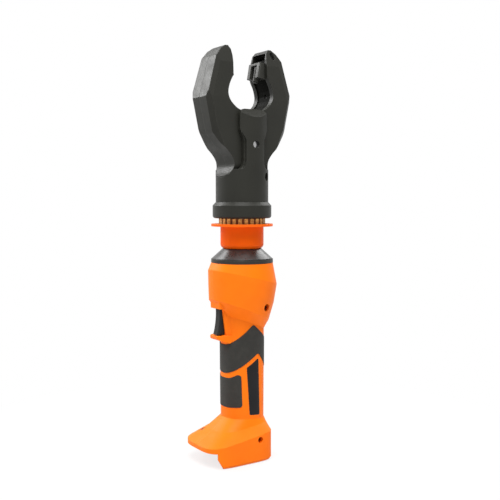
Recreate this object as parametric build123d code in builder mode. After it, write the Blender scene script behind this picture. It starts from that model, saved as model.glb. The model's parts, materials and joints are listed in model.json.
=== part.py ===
from build123d import *
import math
import os
from collections import namedtuple

os.makedirs("parts", exist_ok=True)

# Frame: millimetres, +Z up along the tool's axis, origin on that axis at the base of the foot.
# -X is the trigger side, -Y is the left side of the tool.

# Fits
slip = 0.05
running_gap = 0.3
side_gap = 0.4

# Housing sections, from the nose down to the foot: height on the axis, fall of the plane towards the back,
# reach to the front and to the back, half width, and the power of the superellipse, with the front's own
# power where it differs
Section = namedtuple("Section", "height slope front back side power front_power", defaults=[None])
shoulder = Section(height=196.0, slope=0.0, front=30.8, back=30.8, side=30.8, power=2.0)
upper_crease = Section(height=181.0, slope=0.24, front=34.3, back=35.2, side=33.9, power=2.0)
belt = Section(height=164.0, slope=0.32, front=34.2, back=31.8, side=32.4, power=2.0)
lower_crease = Section(height=146.6, slope=0.40, front=33.6, back=25.6, side=29.4, power=2.1)
grip_top = Section(height=136.0, slope=0.36, front=22.5, back=22.0, side=19.9, power=2.2)
grip_end = Section(height=40.5, slope=0.06, front=21.8, back=21.8, side=19.5, power=2.2)
foot_shoulder = Section(height=34.0, slope=-0.1, front=35.5, back=20.8, side=22.4, power=3.4, front_power=2.8)
foot_edge = Section(height=26.6, slope=-0.14, front=53.6, back=19.3, side=31.7, power=6.5, front_power=3.8)
rim_height = 2.2
rim_inset = 1.3
housing_wall = 2.6
outline_steps = 14
chamber_floor = 18.5

# Rubber overmould and label inlay, drawn in side view as (x, z)
rubber_depth = 1.4
rubber_proud = 0.4
label_depth = 0.8
grip_reach = 34.0
upper_grip_top = [(-grip_reach, 106.0), (-22.0, 115.5), (0.3, 135.4), (21.0, 118.0), (grip_reach, 107.0)]
upper_grip_bottom = [(grip_reach, 77.0), (18.0, 92.4), (6.4, 106.4), (-5.5, 98.5), (-22.0, 87.0),
                     (-grip_reach, 79.0)]
lower_pad_outline = [(-grip_reach, 79.5), (-20.5, 82.2), (-12.4, 88.0), (-11.2, 53.4), (-grip_reach, 51.6)]
label_outline = [(7.0, 101.4), (-6.9, 92.6), (-3.6, 44.9), (9.0, 43.5)]
pad_corner = 2.6
label_corner = 1.2

# Hook lip and trigger
lip_tip = (-34.2, 124.2)
lip_root = (-21.2, 117.0)
lip_top = 124.8
lip_round = 3.2
lip_corner = 6.0
cheek_low = (-24.0, 125.4)
cheek_high = (-27.2, 150.8)
visor_low = (-31.4, 151.4)
visor_high = (-32.0, 158.6)
cheek_back = -14.0
cheek_width_front = 8.4
cheek_width_back = 13.0
cheek_edge = 0.7
trigger_half_width = 5.2
trigger_bottom = 125.6
trigger_round = 2.0
trigger_height = 24.7
trigger_back = -21.0
trigger_heel = -31.6
trigger_brow = -28.6
trigger_hollow = 1.0
stem_radius = 2.5
stem_length = 7.0
trigger_spring_radius = 3.9
trigger_spring_wire = 0.35
trigger_spring_turns = 5
spring_pocket_depth = 3.5

# Battery bay in the foot
skirt_wall = 4.0
bay_height = 15.0
bay_back_wall = 4.0
left_skirt = (-40.0, -49.0)
right_skirt = (-24.0, -42.0)
rail_height = 3.0
rail_bottom = 3.0
rail_width = 2.5
rail_setback = 6.0
terminal_block_size = (15.0, 28.0, 8.0)
terminal_block_x = -4.0
terminal_plug_size = (9.0, 20.0)
terminal_blade = (9.0, 0.8, 5.0)
terminal_pitch = 6.0
terminal_count = 4
terminal_foot = 3.0

# Clamshell screws, placed in side view as (x, z)
screw_places = [(10.8, 152.3), (1.3, 22.1)]
screw_seats = [21.0, 24.0]
screw_shank_radius = 1.6
screw_head_radius = 2.7
screw_head_height = 2.2
screw_socket_radius = 1.3
screw_socket_depth = 1.4
screw_grip = 9.0
screw_wells = [3.8, 3.0]
boss_radius = 5.0
boss_reach = 4.5

# Control board on posts in the foot
board_size = (31.0, 28.0, 1.6)
board_x = -8.0
post_radius = 2.4
post_places = [(-21.0, -11.0), (5.0, -11.0)]
board_height = 29.0
chip_size = (5.0, 5.0, 2.0)
capacitor_radius = 4.0
capacitor_height = 6.4
lead_radius = 0.6
lead_x = -5.5
lead_spread = 6.0

# Status window on the toe
window_place = (-36.7, -16.8)
window_size = (4.0, 5.5)
window_sink = 0.5
window_floor = 22.0

# Motor
motor_bottom = 50.0
motor_length = 48.0
motor_radius = 15.5
motor_wall = 1.5
motor_end_wall = 3.0
shaft_radius = 2.5
shaft_tail = 2.5
rotor_radius = 11.0
rotor_margin = 8.0
stator_gap = 0.5
rib_thickness = 3.0
rib_overlap = 0.8

# Planetary gear
gear_module = 0.7
sun_teeth = 12
planet_teeth = 12
ring_teeth = 36
planet_count = 3
gear_width = 9.5
addendum = 0.8
dedendum = 1.1
pressure_angle = 20.0
backlash = 0.16
flank_steps = 4
gear_margin = 1.5
gear_clearance = 0.5
ring_length = 18.0
carrier_thickness = 3.0
carrier_radius = 11.5
carrier_recess = 13.5
pin_radius = 1.6
output_radius = 4.0

# Pump
pump_bottom = 158.0
pump_radius = 22.0
pump_flange_height = 6.0
pump_flange_radius = 27.9
pump_bore = 9.0
pump_chamber_height = 23.0
pump_collar_radius = 23.9
pump_nose_height = 6.5
pump_top_radius = 16.5
plunger_height = 17.0
plunger_radius = 3.5
plunger_inner = 7.1
plunger_outer = 21.6
eccentric_radius = 5.2
eccentric_throw = 1.5
eccentric_height = 10.0
eccentric_bottom = 12.0
bearing_height = 5.5
bearing_seat = 0.5
oil_port = 2.0
valve_radius = 3.0
valve_height = 27.5
valve_inner = 12.0
valve_head = 1.5
bladder_wall = 4.2
bladder_bottom = 161.0
bladder_height = 20.0
bladder_fit = 0.2

# Nose, insulating neck and swivel
band_height = 3.5
band_radius = 31.0
cone_top_radius = 19.4
cone_bottom_radius = 30.0
cone_wall = 2.5
cone_land = 0.8
sleeve_radius = 21.6
sleeve_overlap = 2.2
sleeve_round = 4.5
disc_radius = 30.8
disc_thickness = 2.4
ring_radius = 23.2
ring_height = 5.3
ring_notches = 24
notch_radius = 1.3
collar_height = 16.0
collar_radius = 29.3
collar_round = 2.5
collar_bevel_height = 3.4
collar_lip = 3.0
neck_radius = 26.2
spigot_radius = 24.0
spigot_height = 8.0

# Cylinder and ram
cylinder_radius = 18.2
cylinder_bore = 14.5
cylinder_foot_height = 6.0
cylinder_length = 47.5
cylinder_foot_radius = 16.0
cylinder_plug_radius = 11.0
cylinder_plug_length = 6.0
flange_radius = 22.0
flange_rise = 31.3
flange_height = 3.2
washer_thickness = 1.2
guide_height = 8.0
piston_rest = 1.0
piston_height = 10.0
piston_fit = 0.08
seal_height = 3.0
seal_depth = 1.6
seal_bottom = 3.5
rod_radius = 10.5
spring_wire = 1.1
spring_radius = 12.5
spring_turns = 3.5

# Jaw geometry, in front view as (x, z) for the rear jaw
pivot_rise = 52.2
closing_angle = 10.0
pivot_radius = 6.0
hub_radius = 11.5
hub_layer = 5.5
jaw_half = 11.0
cover_half = 17.0
hub_split = 0.4
split_angle = 11.5
root_drop = 22.7
heel_drop = 30.7
heel_reach = 19.4
heel_curve = [(19.4, -19.2), (20.9, -13.7), (24.6, -8.5), (30.0, -3.1), (35.2, 2.4), (39.8, 8.9), (42.6, 15.4)]
heel_flare = [(22.6, -27.4), (20.4, -23.6)]
heel_round = 13.0
claw_height = 94.3
elbow_place = (48.8, 0.472)
wrist_place = (37.9, 0.884)
crown_place = (32.0, 0.961)
tip_outer = 26.5
tip_inner = 23.4
mouth_curve = [(10.5, 0.350), (15.0, 0.364), (19.4, 0.396), (23.2, 0.436), (25.4, 0.479), (26.1, 0.528),
               (25.2, 0.579), (22.8, 0.645), (20.5, 0.690), (19.7, 0.728), (19.6, 0.90), (20.6, 0.962)]
throat_step = 5
cover_wall = 4.0
jaw_setback = 1.0
jaw_end_share = 0.894
pocket_reach = 30.0
facet_share = 0.83
facet_half = 15.3
tip_half = 11.6
bevel_width = 5.0
bevel_depth = 1.2
lower_bevel = 4.4
cover_hub_radius = 9.5
tip_slot = (4.0, 8.0)
tip_slot_place = (27.4, 0.935)
tip_slot_turn = 25.0

# Jaw tail and ram wedge
tail_length = 34.0
tail_angle = 15.0
nose_radius = 4.5
wedge_angle = 20.0
wedge_gap = 0.3
wedge_half = 9.0
wedge_top_half = 2.8
tail_inner_top = 1.4
tail_inner_bottom = 4.7
tail_outer = 14.5
tail_joint_drop = 11.0

# Inserts, drawn in the closed position
insert_face = 0.3
insert_back = 13.5
insert_low_share = 0.723
insert_high_share = 0.883
insert_half = 10.5
insert_slot_half = 5.0
insert_slot_depth = 8.0
insert_roof = 2.2
insert_bevel = 1.0
latch_radius = 3.2
latch_drop = 3.5
latch_roof = 1.2
jaw_screw_radius = 2.0
jaw_screw_length = 6.0
jaw_screw_recess = 0.6
jaw_screw_across = -2.0
jaw_screw_socket = 1.0

# Yoke
neck_drop = 23.7
column_foot_drop = 24.7
tail_slot_half = (19.6, 11.5)
tail_slot_round = 4.0
cheek_inner = 17.4
column_half = 10.2
thumb_half = 15.6
thumb_low_rise = 4.3
thumb_step = 10.0
thumb_rise = 34.3
thumb_bevel = 8.0
thumb_land = 1.2
thumb_corner = 7.0
column_round = 8.0
ledge_width = 1.3
ledge_reach = 21.5
pin_end_radius = 3.7
pin_shoulder = 22.5
pin_end = 23.0
pin_tail = 24.5
clip_width = 0.9
clip_radius = 7.9
clip_bore = 5.0
clip_seat = 22.9
clip_mouth = 6.0
set_screw_turn = -54.0
set_screw_drop = 30.9
set_screw_radius = 4.2
set_screw_recess = 3.5
set_screw_length = 4.0


def section_plane(section):
    """Plane of a housing section, falling towards the back by its slope."""
    return Plane(origin=(0, 0, section.height), x_dir=(1, 0, -section.slope), z_dir=(section.slope, 0, 1))


def half_section(section, inset=0.0):
    """Left half of a section: a superellipse cut along the parting plane."""
    stretch = math.hypot(1.0, section.slope)
    reach = (section.front + section.back) / 2 - inset
    middle = (section.back - section.front) / 2
    points = []
    for step in range(2 * outline_steps):
        angle = math.pi * step / outline_steps
        power = section.power
        if section.front_power and math.cos(angle) < 0:
            power = section.front_power
        along = math.copysign(abs(math.cos(angle)) ** (2 / power), math.cos(angle))
        across = math.copysign(abs(math.sin(angle)) ** (2 / power), math.sin(angle))
        if step % outline_steps == 0:
            across = 0.0
        points.append(((middle + reach * along) * stretch, -(section.side - inset) * across))
    with BuildSketch(section_plane(section)) as sketch:
        with BuildLine():
            Spline(*points, periodic=True)
        make_face()
        Rectangle(4 * reach, 2 * reach, align=(Align.CENTER, Align.MAX), mode=Mode.INTERSECT)
    return sketch.sketch


def half_loft(sections, inset=0.0, mode=Mode.ADD):
    """Ruled solid of the left half between sections."""
    loft(sections=[half_section(section, inset) for section in sections], ruled=True, mode=mode)


def side_prism(points, corner=0.0, mode=Mode.ADD):
    """Outline drawn in side view, carried right across the tool."""
    with BuildSketch(Plane.XZ) as outline:
        with BuildLine():
            Polyline(*points, close=True)
        make_face()
        if corner:
            fillet(outline.vertices(), corner)
    extrude(outline.sketch, amount=2 * foot_edge.front, both=True, mode=mode)


def finish(piece, name):
    """Label a piece and write it out."""
    piece.part.label = name
    export_step(piece.part, f"parts/{name}.step")


def mirrored(piece, about=Plane.XZ):
    """Same piece on the other side."""
    with BuildPart() as other:
        mirror(piece.part, about=about)
    return other


# Rubber and label inlays on the left half
grip_sections = [grip_top, grip_end]


def inlay(points, proud, depth, corner):
    """Skin of the grip inside an outline, from just proud of the surface down to its seat."""
    with BuildPart() as skin:
        half_loft(grip_sections, -proud)
        half_loft(grip_sections, depth, mode=Mode.SUBTRACT)
        side_prism(points, corner, mode=Mode.INTERSECT)
    return skin


left_upper_grip = inlay(upper_grip_top + upper_grip_bottom, rubber_proud, rubber_depth, pad_corner)
left_lower_pad = inlay(lower_pad_outline, rubber_proud, rubber_depth, pad_corner)
left_label_plate = inlay(label_outline, 0.0, label_depth, label_corner)

# Visor over the trigger, cheeks beside it and the hook lip under it: a side profile narrowed to the front in plan
with BuildPart() as brow:
    with BuildSketch(Plane.XZ):
        with BuildLine():
            Polyline(lip_tip, (cheek_low[0] - lip_round, lip_top), cheek_low, cheek_high, visor_low, visor_high,
                     (cheek_back, visor_high[1]), (cheek_back, lip_top), lip_root)
            Spline(lip_tip, lip_root, tangents=((0.3, -1), (1, -0.5)))
        make_face()
    extrude(amount=cheek_width_back)
    with BuildSketch(Plane.XY.offset(lip_root[1])) as plan:
        with BuildLine():
            Polyline((cheek_back, 0), (lip_tip[0], 0), (lip_tip[0], -cheek_width_front),
                     (cheek_back, -cheek_width_back), close=True)
        make_face()
        fillet(plan.vertices().group_by(Axis.X)[0].sort_by(Axis.Y)[0], lip_corner)
    extrude(amount=visor_high[1] - lip_root[1], mode=Mode.INTERSECT)
    with BuildSketch(Plane.XY.offset(lip_top)):
        with BuildLine():
            Polyline((cheek_back, -cheek_width_back), (cheek_high[0], -trigger_half_width - side_gap - cheek_edge),
                     (2 * lip_tip[0], -trigger_half_width - side_gap - cheek_edge),
                     (2 * lip_tip[0], -cheek_width_back), close=True)
        make_face()
    extrude(amount=visor_low[1] - lip_top, mode=Mode.SUBTRACT)

# Housing half
foot_rim = foot_edge._replace(height=rim_height, slope=0.0)
foot_base = foot_rim._replace(height=0.0, front=foot_edge.front - rim_inset, back=foot_edge.back - rim_inset,
                              side=foot_edge.side - rim_inset)
roof_end = grip_end._replace(height=grip_end.height - housing_wall)
roof_edge = foot_shoulder._replace(height=foot_shoulder.height - housing_wall, back=foot_edge.back)
chamber_end = roof_edge._replace(height=chamber_floor, slope=0.0)
outer_sections = [shoulder, upper_crease, belt, lower_crease, grip_top, grip_end, foot_shoulder, foot_edge, foot_rim,
                  foot_base]
inner_sections = [shoulder, upper_crease, belt, lower_crease, grip_top, roof_end, roof_edge, chamber_end]
gear_bottom = motor_bottom + motor_length
motor_rib_heights = [motor_bottom + rotor_margin, gear_bottom - rotor_margin, gear_bottom + ring_length / 2]
trigger_top = trigger_bottom + trigger_height
switch_bottom = trigger_bottom - 3.0
switch_height = 25.6
switch_front = -15.5
switch_back = -5.2
switch_half_width = 7.5
bay_half_width = foot_edge.side - skirt_wall

# Status window: an upright plug through the sloping roof of the toe
with BuildPart() as window_blank:
    with BuildSketch(Plane.XY.offset(window_floor)):
        with Locations(window_place):
            Rectangle(*window_size)
    extrude(amount=grip_end.height - window_floor)
with BuildPart() as window_plug:
    half_loft(outer_sections, window_sink)
    add(window_blank.part, mode=Mode.INTERSECT)


def housing_half(wells, window, skirt):
    """Left housing half: screw holes with wells, or blind holes and a status window, and its skirt's raked front."""
    with BuildPart() as half:
        half_loft(outer_sections)
        add(brow.part)
        half_loft(inner_sections, housing_wall, mode=Mode.SUBTRACT)
        for place, seat in zip(screw_places, screw_seats):
            with BuildSketch(Plane.XZ):
                with Locations(place):
                    Circle(boss_radius)
            extrude(amount=seat + boss_reach)
        for height in motor_rib_heights:
            rib = half_section(grip_end._replace(height=height), housing_wall - rib_overlap)
            extrude(rib, amount=rib_thickness)
        with BuildSketch(Plane.XY.offset(motor_bottom)):
            Circle(motor_radius + slip)
        extrude(amount=motor_length + ring_length, mode=Mode.SUBTRACT)
        with BuildSketch(Plane.XY.offset(switch_bottom - slip)):
            with Locations((switch_front, -switch_half_width - rib_thickness)):
                Rectangle(switch_back - switch_front, 3 * rib_thickness, align=(Align.MIN, Align.CENTER))
        extrude(amount=-rib_thickness)
        with BuildSketch(Plane.XY.offset(chamber_floor)):
            with Locations(*post_places):
                Circle(post_radius)
        extrude(amount=board_height - chamber_floor)
        with BuildSketch(Plane.XZ):
            with Locations(((trigger_back + trigger_heel) / 2, (trigger_bottom + trigger_top) / 2)):
                Rectangle(trigger_back - trigger_heel + 2 * stem_length, trigger_height + 2 * side_gap)
        extrude(amount=trigger_half_width + side_gap, mode=Mode.SUBTRACT)
        with BuildSketch(Plane.XY):
            with Locations((foot_edge.back - bay_back_wall, 0)):
                Rectangle(2 * foot_edge.front, 2 * bay_half_width, align=(Align.MAX, Align.CENTER))
        extrude(amount=bay_height, mode=Mode.SUBTRACT)
        side_prism([(skirt[0], 0), (skirt[1], bay_height), (-2 * foot_edge.front, bay_height),
                    (-2 * foot_edge.front, 0)], mode=Mode.SUBTRACT)
        with BuildSketch(Plane.XY.offset(rail_bottom)):
            with Locations((skirt[0] + rail_setback, -bay_half_width)):
                Rectangle(foot_edge.back - bay_back_wall - skirt[0] - rail_setback, rail_width,
                          align=(Align.MIN, Align.MIN))
        extrude(amount=rail_height)
        with BuildSketch(Plane.XY.offset(bay_height)):
            with Locations((terminal_block_x, 0)):
                Rectangle(terminal_plug_size[0] + 2 * slip, terminal_plug_size[1] + 2 * slip)
        extrude(amount=chamber_floor - bay_height, mode=Mode.SUBTRACT)
        for place, seat, well in zip(screw_places, screw_seats, screw_wells):
            with BuildSketch(Plane.XZ):
                with Locations(place):
                    Circle(screw_shank_radius + slip)
            extrude(amount=seat if wells else screw_grip, mode=Mode.SUBTRACT)
            if wells:
                with BuildSketch(Plane.XZ.offset(seat)):
                    with Locations(place):
                        Circle(well)
                extrude(amount=foot_edge.front, mode=Mode.SUBTRACT)
        if window:
            add(window.part, mode=Mode.SUBTRACT)
        for skin in (left_upper_grip, left_lower_pad, left_label_plate):
            add(skin.part, mode=Mode.SUBTRACT)
    return half


left_housing = housing_half(True, None, left_skirt)
right_housing = mirrored(housing_half(False, window_blank, right_skirt))
finish(mirrored(window_plug), "status_window")
finish(left_housing, "left_housing")
finish(right_housing, "right_housing")
for name, skin in (("upper_grip", left_upper_grip), ("lower_pad", left_lower_pad), ("label_plate", left_label_plate)):
    finish(skin, "left_" + name)
    finish(mirrored(skin), "right_" + name)


def disc(radius, bottom, height, mode=Mode.ADD):
    """Round plate about the tool's axis."""
    with BuildSketch(Plane.XY.offset(bottom)) as face:
        Circle(radius)
    extrude(face.sketch, amount=height, mode=mode)


def washer(outer, inner, bottom, height):
    """Plain ring about the tool's axis."""
    with BuildPart() as piece:
        disc(outer, bottom, height)
        disc(inner, bottom, height, mode=Mode.SUBTRACT)
    return piece


def plate(middle, size, bottom, mode=Mode.ADD):
    """Upright block on a rectangle in plan."""
    with BuildSketch(Plane.XY.offset(bottom)) as face:
        with Locations(middle):
            Rectangle(size[0], size[1])
    extrude(face.sketch, amount=size[2], mode=mode)


def cross_rod(place, radius, start, length, mode=Mode.ADD):
    """Round bar across the tool, from y = -start and running towards -Y."""
    with BuildSketch(Plane.XZ.offset(start)) as face:
        with Locations(place):
            Circle(radius)
    extrude(face.sketch, amount=length, mode=mode)


def coil(radius, wire, turns, start, length, plane):
    """Round wire wound about the normal of a plane, from a start along it."""
    with BuildPart() as piece:
        with BuildLine():
            path = Helix(pitch=length / turns, height=length, radius=radius, center=plane.offset(start).origin,
                         direction=plane.z_dir)
        with BuildSketch(Plane(origin=path @ 0, z_dir=path % 0)):
            Circle(wire)
        sweep(is_frenet=True)
    return piece


# Clamshell screws
with BuildPart() as housing_screws:
    for place, seat in zip(screw_places, screw_seats):
        cross_rod(place, screw_shank_radius, -screw_grip + slip, screw_grip + seat)
        cross_rod(place, screw_head_radius, seat, screw_head_height)
        cross_rod(place, screw_socket_radius, seat + screw_head_height, -screw_socket_depth, mode=Mode.SUBTRACT)
finish(housing_screws, "housing_screws")

# Trigger with its stem, its spring and the switch behind it
trigger_middle = (trigger_bottom + trigger_top) / 2
pocket_radius = trigger_spring_radius + 2 * trigger_spring_wire
with BuildPart() as trigger:
    with BuildSketch(Plane.XZ):
        with BuildLine():
            ThreePointArc((trigger_brow, trigger_top),
                          ((trigger_brow + trigger_heel) / 2 + trigger_hollow, trigger_middle),
                          (trigger_heel, trigger_bottom))
            Polyline((trigger_heel, trigger_bottom), (trigger_back, trigger_bottom), (trigger_back, trigger_top),
                     (trigger_brow, trigger_top))
        make_face()
    extrude(amount=trigger_half_width, both=True)
    fillet(trigger.edges().filter_by(GeomType.CIRCLE), trigger_round)
    with BuildSketch(Plane.YZ.offset(trigger_back)):
        with Locations((0, trigger_middle)):
            Circle(stem_radius)
    extrude(amount=stem_length)
    with BuildSketch(Plane.YZ.offset(trigger_back)):
        with Locations((0, trigger_middle)):
            Circle(pocket_radius)
            Circle(stem_radius, mode=Mode.SUBTRACT)
    extrude(amount=-spring_pocket_depth, mode=Mode.SUBTRACT)
finish(trigger, "trigger")

spring_start = trigger_back - spring_pocket_depth + trigger_spring_wire
spring_length = switch_front - trigger_spring_wire - spring_start
trigger_axis = Plane(origin=(0, 0, trigger_middle), x_dir=(0, 1, 0), z_dir=(1, 0, 0))
trigger_spring = coil(trigger_spring_radius, trigger_spring_wire, trigger_spring_turns, spring_start, spring_length,
                      trigger_axis)
finish(trigger_spring, "trigger_spring")

with BuildPart() as trigger_switch:
    plate(((switch_front + switch_back) / 2, 0),
          (switch_back - switch_front, 2 * switch_half_width, switch_height), switch_bottom)
    with BuildSketch(Plane.YZ.offset(switch_front)):
        with Locations((0, trigger_middle)):
            Circle(stem_radius + slip)
    extrude(amount=stem_length + side_gap, mode=Mode.SUBTRACT)
finish(trigger_switch, "trigger_switch")

# Terminal block and blades in the roof of the battery bay
block_bottom = bay_height - terminal_block_size[2]
blade_middle = terminal_block_x - terminal_block_size[0] / 2 + terminal_foot - terminal_blade[0] / 2
first_blade = -(terminal_count - 1) / 2 * terminal_pitch
blade_places = [(blade_middle, first_blade + index * terminal_pitch) for index in range(terminal_count)]
blade_bottom = block_bottom + (terminal_block_size[2] - terminal_blade[2]) / 2
with BuildPart() as terminals:
    for place in blade_places:
        plate(place, terminal_blade, blade_bottom)
with BuildPart() as terminal_block:
    plate((terminal_block_x, 0), terminal_block_size, block_bottom)
    plate((terminal_block_x, 0), terminal_plug_size + (chamber_floor - bay_height,), bay_height)
    add(terminals.part, mode=Mode.SUBTRACT)
finish(terminal_block, "terminal_block")
finish(terminals, "terminals")

# Control board with its chip and capacitor, and the leads below and above it
with BuildPart() as control_board:
    plate((board_x, 0), board_size, board_height)
    plate((board_x, 0), chip_size, board_height + board_size[2])
    with Locations((board_x - board_size[0] / 4, 0, board_height + board_size[2])):
        Cylinder(capacitor_radius, capacitor_height, align=(Align.CENTER, Align.CENTER, Align.MIN))
finish(control_board, "control_board")

with BuildPart() as power_leads:
    for across in (-lead_spread, lead_spread):
        with Locations((lead_x, across, chamber_floor)):
            Cylinder(lead_radius, board_height - chamber_floor, align=(Align.CENTER, Align.CENTER, Align.MIN))
        with Locations((lead_x, across, board_height + board_size[2])):
            Cylinder(lead_radius, motor_bottom - board_height - board_size[2],
                     align=(Align.CENTER, Align.CENTER, Align.MIN))
finish(power_leads, "power_leads")

# Motor
with BuildPart() as motor_can:
    disc(motor_radius, motor_bottom, motor_length)
    disc(motor_radius - motor_wall, motor_bottom + motor_end_wall, motor_length - 2 * motor_end_wall,
         mode=Mode.SUBTRACT)
    disc(shaft_radius + slip, motor_bottom, motor_length, mode=Mode.SUBTRACT)
finish(motor_can, "motor_can")

rotor_length = motor_length - 2 * rotor_margin
stator = washer(motor_radius - motor_wall, rotor_radius + stator_gap, motor_bottom + rotor_margin, rotor_length)
finish(stator, "stator")


def gear_face(teeth, low, high, half_tooth, turn=0.0):
    """Involute gear outline between two radii; half_tooth is half the tooth's width on the pitch circle."""
    pitch_radius = gear_module * teeth / 2
    base_radius = pitch_radius * math.cos(math.radians(pressure_angle))

    def roll(radius):
        angle = math.acos(min(1.0, base_radius / radius))
        return math.tan(angle) - angle

    points = []
    for tooth in range(teeth):
        middle = math.radians(turn) + 2 * math.pi * tooth / teeth
        flank = []
        for step in range(flank_steps + 1):
            radius = low + (high - low) * step / flank_steps
            flank.append((radius, half_tooth / pitch_radius + roll(pitch_radius) - roll(radius)))
        points += [(radius * math.cos(middle - half), radius * math.sin(middle - half)) for radius, half in flank]
        points += [(radius * math.cos(middle + half), radius * math.sin(middle + half))
                   for radius, half in reversed(flank)]
    with BuildSketch() as face:
        with BuildLine():
            Polyline(*points, close=True)
        make_face()
    return face.sketch


# Planetary gear stage on top of the motor
tooth_half = (math.pi * gear_module / 2 - backlash) / 2
space_half = (math.pi * gear_module / 2 + backlash) / 2
planet_orbit = gear_module * (sun_teeth + planet_teeth) / 2
gear_low = gear_bottom + gear_margin
gear_high = gear_low + gear_width
carrier_bottom = gear_high + gear_clearance
sun_pitch = gear_module * sun_teeth / 2
planet_pitch = gear_module * planet_teeth / 2
ring_pitch = gear_module * ring_teeth / 2

with BuildPart() as rotor:
    disc(shaft_radius, motor_bottom - shaft_tail, gear_high - motor_bottom + shaft_tail)
    disc(rotor_radius, motor_bottom + rotor_margin, rotor_length)
    sun = gear_face(sun_teeth, sun_pitch - dedendum * gear_module, sun_pitch + addendum * gear_module, tooth_half)
    extrude(Plane.XY.offset(gear_low) * sun, amount=gear_width)
finish(rotor, "rotor")

with BuildPart() as ring_gear:
    disc(motor_radius, gear_bottom, ring_length)
    spaces = gear_face(ring_teeth, ring_pitch - addendum * gear_module, ring_pitch + dedendum * gear_module,
                       space_half, turn=180.0 / ring_teeth)
    extrude(Plane.XY.offset(gear_bottom) * spaces, amount=ring_length, mode=Mode.SUBTRACT)
    disc(carrier_recess, carrier_bottom - gear_clearance, ring_length, mode=Mode.SUBTRACT)
finish(ring_gear, "ring_gear")

for index in range(planet_count):
    bearing_angle = 360.0 / planet_count * index
    with BuildPart() as planet:
        outline = gear_face(planet_teeth, planet_pitch - dedendum * gear_module,
                            planet_pitch + addendum * gear_module, tooth_half, turn=180.0 / planet_teeth)
        middle = Location((0, 0, gear_low), (0, 0, bearing_angle)) * Location((planet_orbit, 0, 0))
        extrude(middle * outline, amount=gear_width)
        with Locations(middle):
            Cylinder(pin_radius + slip, 2 * gear_width, mode=Mode.SUBTRACT)
    finish(planet, f"planet_gear_{index + 1}")

output_top = pump_bottom + pump_chamber_height - gear_clearance
with BuildPart() as planet_carrier:
    disc(carrier_radius, carrier_bottom, carrier_thickness)
    with BuildSketch(Plane.XY.offset(carrier_bottom)):
        with PolarLocations(planet_orbit, planet_count):
            Circle(pin_radius)
    extrude(amount=-gear_width)
    disc(output_radius, carrier_bottom, output_top - carrier_bottom)
    with Locations((eccentric_throw, 0, pump_bottom + eccentric_bottom)):
        Cylinder(eccentric_radius, eccentric_height, align=(Align.CENTER, Align.CENTER, Align.MIN))
finish(planet_carrier, "planet_carrier")

# Pump block with its bearing, plungers, relief valve and oil bladder
pump_shoulder = shoulder.height - pump_flange_height
band_bottom = shoulder.height
cone_bottom = band_bottom + band_height
pump_top = cone_bottom + pump_nose_height
plunger_z = pump_bottom + plunger_height
plunger_length = plunger_outer - plunger_inner
with BuildPart() as pump_plungers:
    for start in (plunger_inner, -plunger_outer):
        cross_rod((0, plunger_z), plunger_radius, start, plunger_length)
valve_z = pump_bottom + valve_height
with BuildPart() as relief_valve:
    with BuildSketch(Plane.YZ.offset(valve_inner)):
        with Locations((0, valve_z)):
            Circle(valve_radius)
    extrude(amount=pump_radius + valve_head - valve_inner)
    with BuildSketch(Plane.YZ.offset(pump_radius + valve_head)):
        with Locations((0, valve_z)):
            Circle(screw_socket_radius)
    extrude(amount=-screw_socket_depth, mode=Mode.SUBTRACT)
with BuildPart() as pump_block:
    disc(pump_radius, pump_bottom, pump_shoulder - pump_bottom)
    disc(pump_flange_radius, pump_shoulder, pump_flange_height)
    disc(pump_collar_radius, band_bottom, band_height)
    disc(pump_top_radius, cone_bottom, pump_top - cone_bottom)
    disc(pump_bore, pump_bottom, pump_chamber_height, mode=Mode.SUBTRACT)
    disc(oil_port, pump_bottom, pump_top - pump_bottom, mode=Mode.SUBTRACT)
    disc(cylinder_plug_radius + slip, pump_top - cylinder_plug_length, cylinder_plug_length, mode=Mode.SUBTRACT)
    cross_rod((0, plunger_z), plunger_radius + slip, -pump_radius, 2 * pump_radius, mode=Mode.SUBTRACT)
    with BuildSketch(Plane.YZ.offset(valve_inner)):
        with Locations((0, valve_z)):
            Circle(valve_radius + slip)
    extrude(amount=pump_radius, mode=Mode.SUBTRACT)
finish(pump_block, "pump_block")
finish(pump_plungers, "pump_plungers")
finish(relief_valve, "relief_valve")
finish(washer(pump_bore, output_radius + slip, pump_bottom + bearing_seat, bearing_height), "shaft_bearing")
bladder_inner = pump_radius + bladder_fit
finish(washer(bladder_inner + bladder_wall, bladder_inner, bladder_bottom, bladder_height), "oil_bladder")

# Heights of the head, each set from the one below it
cylinder_base = pump_top + cylinder_foot_height
cylinder_top = cylinder_base + cylinder_length
cone_top = cylinder_base - sleeve_overlap
piston_bottom = cylinder_base + piston_rest
flange_bottom = cylinder_base + flange_rise
flange_top = flange_bottom + flange_height
collar_bottom = flange_bottom - collar_lip - running_gap
collar_top = collar_bottom + collar_height
yoke_bottom = collar_bottom + spigot_height
ring_top = collar_bottom - running_gap
ring_bottom = ring_top - ring_height
sleeve_top = ring_bottom - disc_thickness
pivot_height = cylinder_top + pivot_rise
neck_top = pivot_height - neck_drop
foot_line = pivot_height - column_foot_drop
heel_bottom = pivot_height - heel_drop
thumb_low = pivot_height + thumb_low_rise
thumb_top = pivot_height + thumb_rise
root_height = pivot_height - root_drop
tip_height = pivot_height + claw_height

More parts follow.
